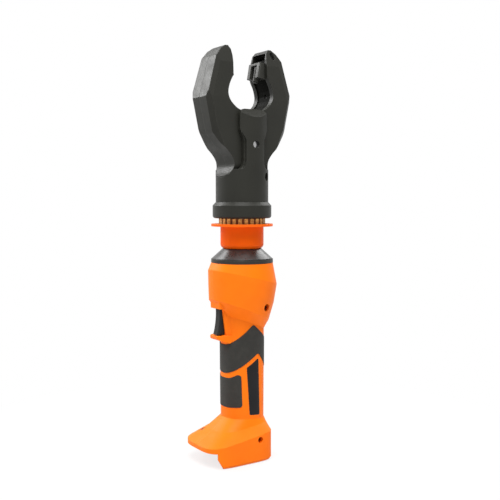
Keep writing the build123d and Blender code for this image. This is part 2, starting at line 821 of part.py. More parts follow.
# Nose band and cone, insulating sleeve, guard disc and swivel ring
finish(washer(band_radius, pump_collar_radius + slip, band_bottom, band_height), "nose_band")
with BuildPart() as nose_cone:
    with BuildSketch(Plane.XZ):
        with BuildLine():
            Polyline((cone_bottom_radius - cone_wall, cone_bottom), (cone_bottom_radius, cone_bottom),
                     (cone_bottom_radius, cone_bottom + cone_land), (cone_top_radius, cone_top),
                     (cylinder_foot_radius + slip, cone_top), (cylinder_foot_radius + slip, cone_top - cone_wall),
                     (cone_top_radius - cone_wall, cone_top - cone_wall), close=True)
        make_face()
    revolve(axis=Axis.Z)
finish(nose_cone, "nose_cone")

with BuildPart() as neck_sleeve:
    disc(sleeve_radius, cone_top, sleeve_top - cone_top)
    fillet(neck_sleeve.edges().group_by(Axis.Z)[0], sleeve_round)
    disc(cylinder_radius + slip, cylinder_base, sleeve_top - cylinder_base, mode=Mode.SUBTRACT)
    disc(cylinder_foot_radius + slip, cone_top, cylinder_base - cone_top, mode=Mode.SUBTRACT)
finish(neck_sleeve, "neck_sleeve")
finish(washer(disc_radius, cylinder_radius + slip, sleeve_top, disc_thickness), "guard_disc")

with BuildPart() as swivel_ring:
    disc(ring_radius, ring_bottom, ring_height)
    disc(cylinder_radius + slip, ring_bottom, ring_height, mode=Mode.SUBTRACT)
    with BuildSketch(Plane.XY.offset(ring_bottom)):
        with PolarLocations(ring_radius, ring_notches):
            Circle(notch_radius)
    extrude(amount=ring_height, mode=Mode.SUBTRACT)
finish(swivel_ring, "swivel_ring")

# Cylinder, rod guide and ram
with BuildPart() as cylinder_tube:
    disc(cylinder_plug_radius, pump_top - cylinder_plug_length, cylinder_plug_length)
    disc(cylinder_foot_radius, pump_top, cylinder_foot_height)
    disc(cylinder_radius, cylinder_base, cylinder_length)
    disc(flange_radius, flange_bottom, flange_height)
    disc(cylinder_bore, cylinder_base, cylinder_length, mode=Mode.SUBTRACT)
    disc(oil_port, pump_bottom, cylinder_base - pump_bottom, mode=Mode.SUBTRACT)
finish(cylinder_tube, "cylinder_tube")
finish(washer(flange_radius, cylinder_radius + slip, flange_top, washer_thickness), "swivel_washer")
guide_bottom = cylinder_top - guide_height
finish(washer(cylinder_bore, rod_radius + slip, guide_bottom, guide_height), "rod_guide")

tail_nose = (tail_length * math.sin(math.radians(tail_angle)),
             pivot_height - tail_length * math.cos(math.radians(tail_angle)))
wedge_slope = math.tan(math.radians(wedge_angle))
nose_reach = (nose_radius + wedge_gap) / math.cos(math.radians(wedge_angle))
wedge_apex = tail_nose[1] + (tail_nose[0] - nose_reach) / wedge_slope
wedge_bottom = wedge_apex - rod_radius / wedge_slope
wedge_top = wedge_apex - wedge_top_half / wedge_slope
piston_top = piston_bottom + piston_height
with BuildPart() as ram:
    disc(cylinder_bore - piston_fit, piston_bottom, piston_height)
    disc(rod_radius, piston_top, wedge_bottom - piston_top)
    with BuildSketch(Plane.XZ):
        with BuildLine():
            Polyline((-rod_radius, wedge_bottom), (rod_radius, wedge_bottom), (wedge_top_half, wedge_top),
                     (-wedge_top_half, wedge_top), close=True)
        make_face()
    extrude(amount=wedge_half, both=True)
    with BuildSketch(Plane.XY.offset(piston_bottom + seal_bottom)):
        Circle(cylinder_bore)
        Circle(cylinder_bore - piston_fit - seal_depth, mode=Mode.SUBTRACT)
    extrude(amount=seal_height, mode=Mode.SUBTRACT)
finish(ram, "ram")
finish(washer(cylinder_bore - slip, cylinder_bore - piston_fit - seal_depth, piston_bottom + seal_bottom,
              seal_height), "piston_seal")
return_spring = coil(spring_radius, spring_wire, spring_turns, piston_top + spring_wire + slip,
                     guide_bottom - piston_top - 2 * (spring_wire + slip), Plane.XY)
finish(return_spring, "return_spring")

# Collar that holds the head on the cylinder's flange
with BuildPart() as collar:
    disc(collar_radius, collar_bottom, collar_height)
    fillet(collar.edges().group_by(Axis.Z)[0], collar_round)
    chamfer(collar.edges().group_by(Axis.Z)[-1], collar_bevel_height, collar_radius - neck_radius,
            reference=collar.faces().filter_by(GeomType.CYLINDER)[0])
    disc(cylinder_radius + slip, collar_bottom, collar_height, mode=Mode.SUBTRACT)
    disc(flange_radius + side_gap, collar_bottom + collar_lip, collar_height, mode=Mode.SUBTRACT)
    disc(spigot_radius + slip, yoke_bottom, collar_top - yoke_bottom, mode=Mode.SUBTRACT)
finish(collar, "collar")

# Yoke: neck with two cheeks that carry the pivot pin, and a U-shaped channel for the jaws between them
def cheek_plate(spread, reach):
    """Both cheeks as one plate across the neck: columns spread to each side, reaching so far out from the middle."""
    foot_width = column_half + column_round + thumb_land + spread
    points = [(foot_width, collar_top), (foot_width, foot_line), (column_half + spread, foot_line),
              (column_half + spread, thumb_low), (thumb_half, thumb_low + thumb_step), (thumb_half, thumb_top)]
    with BuildPart() as plates:
        with BuildSketch(Plane.XZ) as face:
            with BuildLine():
                Polyline(*points, *[(-x, z) for x, z in reversed(points)], close=True)
            make_face()
            inner_corners = [vertex for vertex in face.vertices()
                             if abs(vertex.Y - foot_line) < slip and abs(vertex.X) < foot_width - slip]
            fillet(inner_corners, column_round)
            fillet(face.vertices().group_by(Axis.Y)[-1], thumb_corner)
        extrude(face.sketch, amount=reach, both=True)
    return plates.part


with BuildPart() as cheeks:
    add(cheek_plate(0, neck_radius))
    add(cheek_plate(ledge_width, ledge_reach))
    with BuildSketch(Plane.XY.offset(collar_top)):
        Circle(neck_radius)
    extrude(amount=thumb_top, mode=Mode.INTERSECT)
    with BuildSketch(Plane.YZ):
        with BuildLine():
            Polyline((neck_radius, collar_top), (neck_radius, thumb_top - thumb_bevel),
                     (cheek_inner + thumb_land, thumb_top), (-cheek_inner - thumb_land, thumb_top),
                     (-neck_radius, thumb_top - thumb_bevel), (-neck_radius, collar_top), close=True)
        make_face()
    extrude(amount=neck_radius, both=True, mode=Mode.INTERSECT)

set_screw_plane = Plane(origin=(0, 0, pivot_height - set_screw_drop),
                        x_dir=(0, 0, 1),
                        z_dir=(math.cos(math.radians(set_screw_turn)), math.sin(math.radians(set_screw_turn)), 0))
screw_face = neck_radius - set_screw_recess
with BuildPart() as neck_set_screw:
    with BuildSketch(set_screw_plane.offset(screw_face)):
        Circle(set_screw_radius)
    extrude(amount=-set_screw_length)
    with BuildSketch(set_screw_plane.offset(screw_face)):
        RegularPolygon(screw_socket_radius, 6)
    extrude(amount=-screw_socket_depth, mode=Mode.SUBTRACT)

with BuildPart() as yoke:
    disc(spigot_radius, yoke_bottom, collar_top - yoke_bottom)
    disc(neck_radius, collar_top, neck_top - collar_top)
    add(cheeks.part)
    with BuildSketch(Plane.YZ):
        with Locations((0, heel_bottom - side_gap)):
            RectangleRounded(2 * cheek_inner, claw_height, heel_round + side_gap, align=(Align.CENTER, Align.MIN))
    extrude(amount=neck_radius, both=True, mode=Mode.SUBTRACT)
    disc(cylinder_radius + slip, yoke_bottom, cylinder_top + side_gap - yoke_bottom, mode=Mode.SUBTRACT)
    with BuildSketch(Plane.XY.offset(cylinder_top)):
        RectangleRounded(2 * tail_slot_half[0], 2 * tail_slot_half[1], tail_slot_round)
    extrude(amount=neck_top - cylinder_top, mode=Mode.SUBTRACT)
    cross_rod((0, pivot_height), pivot_radius + slip, -neck_radius, neck_radius + pin_shoulder, mode=Mode.SUBTRACT)
    cross_rod((0, pivot_height), pin_end_radius, 0, neck_radius, mode=Mode.SUBTRACT)
    cross_rod((0, pivot_height), clip_radius + slip, -neck_radius, neck_radius - clip_seat, mode=Mode.SUBTRACT)
    with BuildSketch(set_screw_plane.offset(screw_face - set_screw_length)):
        Circle(set_screw_radius + slip)
    extrude(amount=set_screw_length + neck_radius, mode=Mode.SUBTRACT)
finish(yoke, "yoke")
finish(neck_set_screw, "neck_set_screw")

# Pivot pin and its open retaining clip
with BuildPart() as pivot_pin:
    cross_rod((0, pivot_height), pivot_radius, -pin_tail, pin_tail + pin_shoulder)
    cross_rod((0, pivot_height), pin_end_radius - slip, pin_shoulder, pin_end - pin_shoulder)
    with BuildSketch(Plane.XZ.offset(-clip_seat)):
        with Locations((0, pivot_height)):
            Circle(pivot_radius)
            Circle(clip_bore, mode=Mode.SUBTRACT)
    extrude(amount=-clip_width, mode=Mode.SUBTRACT)
finish(pivot_pin, "pivot_pin")
with BuildPart() as pivot_clip:
    with BuildSketch(Plane.XZ.offset(-clip_seat)):
        with Locations((0, pivot_height)):
            Circle(clip_radius)
            Circle(clip_bore, mode=Mode.SUBTRACT)
        with Locations((0, pivot_height - clip_radius)):
            Rectangle(clip_mouth, 2 * clip_mouth, mode=Mode.SUBTRACT)
    extrude(amount=-clip_width)
finish(pivot_clip, "pivot_clip")


def offset_chain(points, distance):
    """Open polyline moved to the left of its direction, with mitred corners."""
    moved = []
    for index, (x, z) in enumerate(points):
        normals = []
        for first in (index - 1, index):
            if 0 <= first < len(points) - 1:
                run = (points[first + 1][0] - points[first][0], points[first + 1][1] - points[first][1])
                length = math.hypot(*run)
                normals.append((-run[1] / length, run[0] / length))
        sum_x = normals[0][0] + normals[-1][0]
        sum_z = normals[0][1] + normals[-1][1]
        grow = 2 * distance / (sum_x ** 2 + sum_z ** 2)
        moved.append((x + grow * sum_x, z + grow * sum_z))
    return moved


def split_x(height):
    """Inner edge of the rear jaw above the pivot, leaning back by the split angle."""
    return hub_split + (height - pivot_height) * math.tan(math.radians(split_angle))


def profile(points, half, mode=Mode.ADD):
    """Outline in front view, as thick as twice half and centred on the tool."""
    with BuildSketch(Plane.XZ) as face:
        with BuildLine():
            Polyline(*points, close=True)
        make_face()
    extrude(face.sketch, amount=half, both=True, mode=mode)


def claw(points):
    """Points of the claw in front view, given as the reach from the axis and the share of the claw's height."""
    return [(x, pivot_height + share * claw_height) for x, share in points]


# Rear jaw: claw outline, with the outer chain rising to the tip and the mouth chain rising from the floor
elbow, wrist, crown = claw([elbow_place, wrist_place, crown_place])
facet_reach = elbow_place[0] + (wrist_place[0] - elbow_place[0]) * (facet_share - elbow_place[1]) / (
    wrist_place[1] - elbow_place[1])
facet = claw([(facet_reach, facet_share)])[0]
heel_chain = [(x, pivot_height + rise) for x, rise in heel_curve]
flare_chain = [(neck_radius, heel_bottom)] + [(x, pivot_height + rise) for x, rise in heel_flare] + heel_chain[:1]
outer_chain = [(heel_reach, root_height)] + heel_chain + [elbow, wrist, crown, (tip_outer, tip_height)]
mouth_points = claw(mouth_curve)
mouth_floor = mouth_points[0][1]
throat = mouth_points[throat_step]
mouth_chain = [(split_x(mouth_floor), mouth_floor)] + mouth_points + [(tip_inner, tip_height)]
tip_points = [mouth_points[-3], mouth_points[-2], mouth_points[-1], (tip_inner, tip_height), (tip_outer, tip_height)]
jaw_end = pivot_height + jaw_end_share * claw_height
pocket_chain = offset_chain(outer_chain, cover_wall)
pocket_points = pocket_chain + [(-pocket_reach, pocket_chain[-1][1]), (-pocket_reach, root_height - pocket_reach),
                                (pocket_chain[0][0], root_height - pocket_reach)]
opening = Axis(origin=(0, 0, pivot_height), direction=(0, 1, 0))

# Inserts, latch pin and jaw screw, drawn closed and turned open about the pivot
insert_bottom = pivot_height + insert_low_share * claw_height
insert_top = pivot_height + insert_high_share * claw_height
insert_height = insert_top - insert_bottom


def insert_block(half):
    """Plain insert of the rear jaw, from its face back into the jaw, as wide as twice half."""
    with BuildPart() as block:
        plate(((insert_face + insert_back) / 2, 0), (insert_back - insert_face, 2 * half, insert_height),
              insert_bottom)
    return block


def opened(piece):
    """Piece of the rear jaw turned from the closed to the open position."""
    return Part(piece.part.rotate(opening, closing_angle).wrapped)


fork_blank = insert_block(insert_half)
tongue_blank = insert_block(insert_slot_half - side_gap)
with BuildPart() as fork_closed:
    add(fork_blank.part)
    chamfer(fork_closed.edges().group_by(Axis.X)[0].filter_by(Axis.Z), insert_bevel)
    with BuildSketch(Plane.XY.offset(insert_bottom)):
        with Locations((insert_face, 0)):
            Rectangle(insert_slot_depth, 2 * insert_slot_half, align=(Align.MIN, Align.CENTER))
    extrude(amount=insert_height - insert_roof, mode=Mode.SUBTRACT)
with BuildPart() as tongue_closed:
    add(tongue_blank.part)
    chamfer(tongue_closed.edges().group_by(Axis.X)[0].filter_by(Axis.Y), insert_bevel)
latch_x = insert_face + insert_slot_depth - latch_radius - slip
latch_bottom = insert_bottom - latch_drop
with BuildPart() as latch_closed:
    with Locations((latch_x, 0, latch_bottom)):
        Cylinder(latch_radius, insert_top - insert_roof - slip - latch_bottom,
                 align=(Align.CENTER, Align.CENTER, Align.MIN))
    fillet(latch_closed.edges().group_by(Axis.Z)[0], latch_roof)
screw_start = offset_chain(mouth_chain, -jaw_setback)[mouth_chain.index(throat)][0] + jaw_screw_recess


def throat_rod(radius, start, length, mode=Mode.ADD):
    """Round bar along X through the jaw's throat."""
    with BuildSketch(Plane.YZ.offset(start)) as face:
        with Locations((jaw_screw_across, throat[1])):
            Circle(radius)
    extrude(face.sketch, amount=length, mode=mode)


with BuildPart() as jaw_screw:
    throat_rod(jaw_screw_radius, screw_start, jaw_screw_length)
    throat_rod(jaw_screw_socket, screw_start, jaw_screw_radius, mode=Mode.SUBTRACT)


def steel_jaw(own_layer, seat):
    """Steel jaw on the rear side, cut for its insert's seat; its hub is the middle layer or the two outer ones."""
    steel_outer = offset_chain(outer_chain, cover_wall + slip)
    steel_mouth = offset_chain(mouth_chain, -jaw_setback)
    steel_points = steel_outer + list(reversed(steel_mouth)) + [
        (hub_split, pivot_height), (tail_inner_top, pivot_height - tail_joint_drop),
        (tail_inner_bottom, tail_nose[1]), (tail_nose[0] + nose_radius - side_gap, tail_nose[1]),
        (tail_outer, root_height)]
    with BuildPart() as jaw:
        profile(steel_points, jaw_half)
        with BuildSketch(Plane.XY.offset(jaw_end)):
            Rectangle(4 * elbow[0], 4 * elbow[0])
        extrude(amount=claw_height, mode=Mode.SUBTRACT)
        with BuildSketch(Plane.XZ):
            with Locations(tail_nose):
                Circle(nose_radius)
        extrude(amount=jaw_half, both=True)
        for start, thickness in ((-jaw_half, jaw_half - wedge_half), (wedge_half, jaw_half - wedge_half)):
            with BuildSketch(Plane.XZ.offset(start)):
                Rectangle(4 * elbow[0], 2 * (root_height + side_gap))
            extrude(amount=thickness, mode=Mode.SUBTRACT)
        if own_layer == "middle":
            for start in (-jaw_half, hub_layer - running_gap / 2):
                cross_rod((0, pivot_height), hub_radius + running_gap, start, jaw_half - hub_layer + running_gap / 2,
                          mode=Mode.SUBTRACT)
            cross_rod((0, pivot_height), hub_radius, running_gap / 2 - hub_layer, 2 * hub_layer - running_gap)
        else:
            cross_rod((0, pivot_height), hub_radius + running_gap, -hub_layer, 2 * hub_layer, mode=Mode.SUBTRACT)
            for start in (-jaw_half, hub_layer):
                cross_rod((0, pivot_height), hub_radius, start, jaw_half - hub_layer)
        cross_rod((0, pivot_height), pivot_radius + slip, -jaw_half, 2 * jaw_half, mode=Mode.SUBTRACT)
        add(seat, mode=Mode.SUBTRACT)
        throat_rod(jaw_screw_radius + slip, screw_start + jaw_screw_length, -2 * jaw_screw_length, mode=Mode.SUBTRACT)
    return jaw


def cover_y(height):
    """Left face of the covers, drawn in towards the tip."""
    for low, high, low_half, high_half in ((elbow[1], facet[1], cover_half, facet_half),
                                           (facet[1], tip_height, facet_half, tip_half)):
        if low < height <= high:
            return -low_half + (low_half - high_half) * (height - low) / (high - low)
    return -cover_half


def bevel_plane(first, second, width, depth):
    """Plane that bevels the left face along the outer edge between two points of the outline."""
    inner = [Vector(x, cover_y(z), z) for x, z in offset_chain([first, second], width)]
    outer = Vector(first[0], cover_y(first[1]) + depth, first[1])
    normal = (inner[1] - inner[0]).cross(outer - inner[0])
    return Plane(origin=inner[0], z_dir=normal if normal.Y < 0 else -normal)


# Left half of a claw's insulating cover, flared at the heel to the neck's outline and hollow for the steel jaw
with BuildPart() as heel_flare_block:
    with BuildSketch(Plane.XZ):
        with BuildLine():
            Spline(*flare_chain, tangents=[(heel_reach - neck_radius, neck_radius - heel_reach), (0, 1)])
            Polyline(heel_chain[0], (heel_reach, heel_bottom), (neck_radius, heel_bottom))
        make_face()
    extrude(amount=cover_half, both=True)
    with BuildSketch(Plane.XY.offset(heel_bottom)):
        Circle(neck_radius)
    extrude(amount=heel_drop, mode=Mode.INTERSECT)
with BuildPart() as claw_cover:
    with BuildSketch(Plane.XZ):
        with BuildLine():
            Spline(*heel_chain, tangents=[(0, 1), Vector(*elbow) - Vector(*heel_chain[-1])])
            Polyline(heel_chain[-1], elbow, wrist, crown, *reversed(tip_points))
            Spline(*mouth_points[:-2])
            Polyline(mouth_points[0], mouth_chain[0], (hub_split, pivot_height), (hub_split, heel_bottom),
                     (heel_reach, heel_bottom), heel_chain[0])
        make_face()
    extrude(amount=cover_half, both=True)
    split(bisect_by=bevel_plane(elbow, facet, bevel_width, bevel_depth), keep=Keep.BOTTOM)
    split(bisect_by=bevel_plane(heel_chain[-1], elbow, lower_bevel, lower_bevel), keep=Keep.BOTTOM)
    split(bisect_by=bevel_plane(heel_chain[-2], heel_chain[-1], lower_bevel, lower_bevel), keep=Keep.BOTTOM)
    add(heel_flare_block.part)
    with BuildSketch(Plane.YZ):
        with BuildLine():
            CenterArc((heel_round - cover_half, heel_bottom + heel_round), heel_round, 180, 90)
            Polyline((-cover_half, heel_bottom + heel_round), (-cover_half, elbow[1]), (-facet_half, facet[1]),
                     (-tip_half, tip_height), (0, tip_height), (0, heel_bottom),
                     (heel_round - cover_half, heel_bottom))
        make_face()
    extrude(amount=2 * elbow[0], mode=Mode.INTERSECT)
    profile(pocket_points, jaw_half + slip, mode=Mode.SUBTRACT)
    cross_rod((0, pivot_height), cover_hub_radius, 0, cover_half, mode=Mode.SUBTRACT)
with BuildPart() as slotted_cover:
    add(claw_cover.part)
    with BuildSketch(Plane.XZ):
        with Locations(Location(claw([tip_slot_place])[0], tip_slot_turn)):
            SlotOverall(tip_slot[1], tip_slot[0], rotation=90)
    extrude(amount=cover_half, mode=Mode.SUBTRACT)

fork_seat = opened(fork_blank)
tongue_seat = opened(tongue_blank)
finish(steel_jaw("outer", fork_seat), "rear_jaw")
finish(mirrored(steel_jaw("middle", tongue_seat), Plane.YZ), "front_jaw")
front_cover = mirrored(claw_cover, Plane.YZ)
finish(slotted_cover, "rear_left_cover")
finish(mirrored(claw_cover), "rear_right_cover")
finish(front_cover, "front_left_cover")
finish(mirrored(front_cover), "front_right_cover")
with BuildPart() as rear_insert:
    add(opened(fork_closed))
finish(rear_insert, "rear_insert")
with BuildPart() as rear_latch_pin:
    add(opened(latch_closed))
finish(rear_latch_pin, "rear_latch_pin")
with BuildPart() as front_tongue:
    add(opened(tongue_closed))
finish(mirrored(front_tongue, Plane.YZ), "front_insert")
finish(jaw_screw, "rear_clamp_screw")
finish(mirrored(jaw_screw, Plane.YZ), "front_clamp_screw")
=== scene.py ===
import json
import math

import bpy
import numpy as np
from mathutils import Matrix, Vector


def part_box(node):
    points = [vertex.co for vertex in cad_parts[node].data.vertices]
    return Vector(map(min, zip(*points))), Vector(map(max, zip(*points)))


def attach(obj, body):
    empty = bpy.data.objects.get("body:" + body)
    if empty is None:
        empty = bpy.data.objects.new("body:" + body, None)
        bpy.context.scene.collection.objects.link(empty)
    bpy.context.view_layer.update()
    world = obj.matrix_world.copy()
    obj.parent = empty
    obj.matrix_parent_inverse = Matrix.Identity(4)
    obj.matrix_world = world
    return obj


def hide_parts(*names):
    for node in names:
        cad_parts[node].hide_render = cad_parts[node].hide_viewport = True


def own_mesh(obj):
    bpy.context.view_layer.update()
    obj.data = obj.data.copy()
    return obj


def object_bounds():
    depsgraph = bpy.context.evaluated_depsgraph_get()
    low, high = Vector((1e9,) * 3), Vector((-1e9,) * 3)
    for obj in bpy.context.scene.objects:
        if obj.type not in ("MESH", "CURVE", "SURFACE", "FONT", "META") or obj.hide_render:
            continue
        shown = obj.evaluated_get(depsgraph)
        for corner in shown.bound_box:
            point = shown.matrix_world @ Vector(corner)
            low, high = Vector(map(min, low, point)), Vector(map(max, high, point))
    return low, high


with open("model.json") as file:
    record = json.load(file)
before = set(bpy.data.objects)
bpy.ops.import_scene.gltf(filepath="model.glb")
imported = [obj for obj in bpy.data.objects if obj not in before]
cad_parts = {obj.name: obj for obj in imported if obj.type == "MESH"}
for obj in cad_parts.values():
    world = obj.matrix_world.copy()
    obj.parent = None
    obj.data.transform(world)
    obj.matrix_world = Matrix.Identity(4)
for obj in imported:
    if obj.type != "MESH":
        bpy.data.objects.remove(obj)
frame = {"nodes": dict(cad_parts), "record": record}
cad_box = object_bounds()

nodes = frame["nodes"]
scene = bpy.context.scene

# Camera, as the photograph saw the tool: pixels of a 500 by 500 picture, metres and degrees
IMAGE_SIZE = 500
SENSOR = 36.0
FOCAL_PIXELS = 780.0
CAMERA_DISTANCE = 0.780
CAMERA_HEIGHT = 0.260
CAMERA_AZIMUTH = math.radians(-33.0)
HORIZON_PIXEL = 198.0
AXIS_PIXEL = 242.0

# Waves to the metre of what varies over a finish
CLOUD_WAVES = 45.0
SCUFF_WAVES = 90.0
WEAR_WAVES = 260.0
DUST_WAVES = 120.0
PIMPLE_WAVES = 1100.0
METAL_CLOUD_WAVES = 70.0
MOTTLE_WAVES = 420.0
RING_GRAIN_WAVES = 1500.0

# Rubber and the swivel ring: how far their edges are rounded, and how deep their grain is
RUBBER_EDGE = 0.0006
PIMPLE_DEPTH = 0.00006
RING_EDGE = 0.0003
RING_GRAIN_DEPTH = 0.00002

# Lean of the rounded normal off the true one, as a cosine, from a full edge to an open face
EDGE_LEAN = 0.75
FACE_LEAN = 0.99

# Radii of the swivel ring between which painted shade, dark down in its notches, gives way to the pale blocks
NOTCH_DEEP = 0.0222
NOTCH_RIM = 0.0231

# Springs: radius of the wire, turns, sections in a turn and sides of the wire
RETURN_WIRE = 0.0011
RETURN_TURNS = 3.5
TRIGGER_WIRE = 0.00035
TRIGGER_TURNS = 5.0
COIL_STEPS = 40
WIRE_SIDES = 12

# Studio: the floor turns to plain white between two distances from the tool
FLOOR_HALF = 6.0
FLOOR_GAP = 0.0005
FLOOR_TONE = 0.70
FLOOR_ROUGHNESS = 0.8
FLOOR_NEAR = 0.08
FLOOR_FAR = 0.35
FLOOR_NEAR_WHITE = 0.78
WORLD_FILL = 0.34

# Soft boxes: place, width and height, and power
LAMP_TARGET = (0.0, 0.0, 0.22)
LAMPS = {
    "left_box": ((-0.8, 1.4, 1.30), (1.1, 1.1), 34.0),
    "right_box": ((1.4, 0.5, 1.45), (0.8, 1.0), 11.0),
    "front_box": ((-0.35, -0.65, 1.75), (1.2, 1.0), 42.0),
}


# Node helpers

def add_node(tree, kind, links=(), settings=(), **numbers):
    """New node of a kind, with links as (socket, source), settings as (name, value) and numbers for sockets."""
    node = tree.nodes.new(kind)
    for name, value in settings:
        setattr(node, name, value)
    for socket, number in numbers.items():
        node.inputs[socket].default_value = number
    for socket, source in links:
        tree.links.new(source, node.inputs[socket])
    return node


def fresh_material(name):
    """New material; gives the material, its tree, its surface shader and object coordinates."""
    material = bpy.data.materials.new(name)
    material.use_nodes = True
    tree = material.node_tree
    shader = next(node for node in tree.nodes if node.type == "BSDF_PRINCIPLED")
    return material, tree, shader, add_node(tree, "ShaderNodeTexCoord").outputs["Object"]


def noise(tree, where, scale, detail=2.0, roughness=0.5):
    """Smooth random value from 0 to 1, with so many waves to the metre."""
    node = add_node(tree, "ShaderNodeTexNoise", [("Vector", where)],
                    Scale=scale, Detail=detail, Roughness=roughness)
    return node.outputs["Fac"]


def math_node(tree, operation, first, second, clamp=False):
    """One arithmetic step; each term is a socket or a number."""
    node = add_node(tree, "ShaderNodeMath", settings=[("operation", operation), ("use_clamp", clamp)])
    for socket, term in zip(node.inputs, (first, second)):
        if isinstance(term, (int, float)):
            socket.default_value = term
        else:
            tree.links.new(term, socket)
    return node.outputs[0]


def spread(tree, value, low, high, start=0.0, end=1.0):
    """Value from start to end carried over to low to high, and held there beyond."""
    reach = {"From Min": start, "From Max": end, "To Min": low, "To Max": high}
    return add_node(tree, "ShaderNodeMapRange", [("Value", value)], **reach).outputs["Result"]


def blend_colours(tree, share, first, second):
    """Colour between two; each is a colour or a socket, and share is a socket."""
    node = add_node(tree, "ShaderNodeMix", [("Factor", share)], [("data_type", "RGBA")])
    for socket, colour in zip(node.inputs[6:8], (first, second)):
        if isinstance(colour, tuple):
            socket.default_value = (*colour, 1.0)
        else:
            tree.links.new(colour, socket)
    return node.outputs[2]


def rounded_normal(tree, radius):
    """Surface normal with edges rounded off to a radius."""
    return add_node(tree, "ShaderNodeBevel", settings=[("samples", 4)], Radius=radius).outputs["Normal"]


def edge_share(tree, normal):
    """0 on open faces and up to 1 along edges, from how far the rounded normal leans off the true one."""
    true_normal = add_node(tree, "ShaderNodeNewGeometry").outputs["Normal"]
    lean = add_node(tree, "ShaderNodeVectorMath", [(0, normal), (1, true_normal)],
                    [("operation", "DOT_PRODUCT")])
    return spread(tree, lean.outputs["Value"], 1.0, 0.0, EDGE_LEAN, FACE_LEAN)


def bump(tree, height, depth, normal):
    """Normal tilted by a height socket of that depth in metres, over another normal."""
    node = add_node(tree, "ShaderNodeBump", [("Height", height), ("Normal", normal)],
                    Strength=1.0, Distance=depth)
    return node.outputs["Normal"]


def seen_white(tree):
    """1 for what the camera, a reflection or a clear surface sees, and 0 for light that falls on things."""
    path = add_node(tree, "ShaderNodeLightPath")
    seen = math_node(tree, "MAXIMUM", path.outputs["Is Camera Ray"], path.outputs["Is Glossy Ray"])
    return math_node(tree, "MAXIMUM", seen, path.outputs["Is Transmission Ray"])


# Finishes

def moulded_finish(name, colour, shade, worn, roughness,
                   grain=1400.0, depth=0.00004, edge=0.0007, gloss=0.5):
    """Moulded plastic: cloudy colour, a fine eroded grain, scuffs, and edges rubbed smooth and lighter."""
    material, tree, shader, where = fresh_material(name)
    cloud = spread(tree, noise(tree, where, CLOUD_WAVES, 4.0), 0.0, 1.0, 0.35, 0.7)
    tint = blend_colours(tree, cloud, colour, shade)
    normal = rounded_normal(tree, edge)
    wear = spread(tree, noise(tree, where, WEAR_WAVES, 3.0), 0.1, 0.9, 0.35, 0.65)
    patchy = math_node(tree, "MULTIPLY", edge_share(tree, normal), wear)
    tree.links.new(blend_colours(tree, patchy, tint, worn), shader.inputs["Base Color"])
    grain_height = noise(tree, where, grain, 3.0, 0.6)
    scuff = spread(tree, noise(tree, where, SCUFF_WAVES, 5.0, 0.65), -0.06, 0.08, 0.3, 0.7)
    fine = spread(tree, grain_height, roughness - 0.05, roughness + 0.05, 0.3, 0.7)
    tree.links.new(math_node(tree, "ADD", fine, scuff, clamp=True), shader.inputs["Roughness"])
    tree.links.new(bump(tree, grain_height, depth, normal), shader.inputs["Normal"])
    shader.inputs["Specular IOR Level"].default_value = gloss
    return material


def coated_finish(name, colour, shade, worn, roughness=0.42, gloss=0.17):
    """Dark sprayed coating: fine sandy texture, uneven sheen, and corners rubbed to a lighter grey."""
    return moulded_finish(name, colour, shade, worn, roughness, grain=1700.0, depth=0.00005, gloss=gloss)


def rubber_finish(name, colour, dusty, roughness=0.62):
    """Soft overmould: matt dark rubber with a close pimpled grain and dusty patches."""
    material, tree, shader, where = fresh_material(name)
    dust = spread(tree, noise(tree, where, DUST_WAVES, 5.0, 0.7), 0.0, 0.6, 0.45, 0.75)
    normal = rounded_normal(tree, RUBBER_EDGE)
    rim = math_node(tree, "MULTIPLY", edge_share(tree, normal), 0.5)
    pale = math_node(tree, "MAXIMUM", dust, rim)
    tree.links.new(blend_colours(tree, pale, colour, dusty), shader.inputs["Base Color"])
    cells = add_node(tree, "ShaderNodeTexVoronoi", [("Vector", where)], Scale=PIMPLE_WAVES)
    pimples = cells.outputs["Distance"]
    tree.links.new(spread(tree, pimples, roughness - 0.08, roughness + 0.1), shader.inputs["Roughness"])
    tree.links.new(bump(tree, pimples, PIMPLE_DEPTH, normal), shader.inputs["Normal"])
    shader.inputs["Specular IOR Level"].default_value = 0.25
    return material


def metal_finish(name, colour, dark, roughness, ring_waves=0.0, grain=900.0, depth=0.00002, edge=0.0004):
    """Bare or darkened metal: cloudy tone, fine grain, and rings where the piece was turned on a lathe."""
    material, tree, shader, where = fresh_material(name)
    cloud = spread(tree, noise(tree, where, METAL_CLOUD_WAVES, 4.0), 0.0, 1.0, 0.3, 0.7)
    normal = rounded_normal(tree, edge)
    rim = math_node(tree, "MULTIPLY", edge_share(tree, normal), 0.5)
    rubbed = tuple(min(1.0, channel * 1.6) for channel in colour)
    toned = blend_colours(tree, cloud, colour, dark)
    tree.links.new(blend_colours(tree, rim, toned, rubbed), shader.inputs["Base Color"])
    shader.inputs["Metallic"].default_value = 1.0
    height = noise(tree, where, grain, 3.0, 0.6)
    if ring_waves:
        rings = add_node(tree, "ShaderNodeTexWave", [("Vector", where)], [("bands_direction", "Z")],
                         Scale=ring_waves, Distortion=1.5)
        height = math_node(tree, "ADD", height, rings.outputs["Fac"])
    fine = spread(tree, height, roughness - 0.06, roughness + 0.08, 0.2, 1.4)
    tree.links.new(fine, shader.inputs["Roughness"])
    tree.links.new(bump(tree, height, depth, normal), shader.inputs["Normal"])
    return material


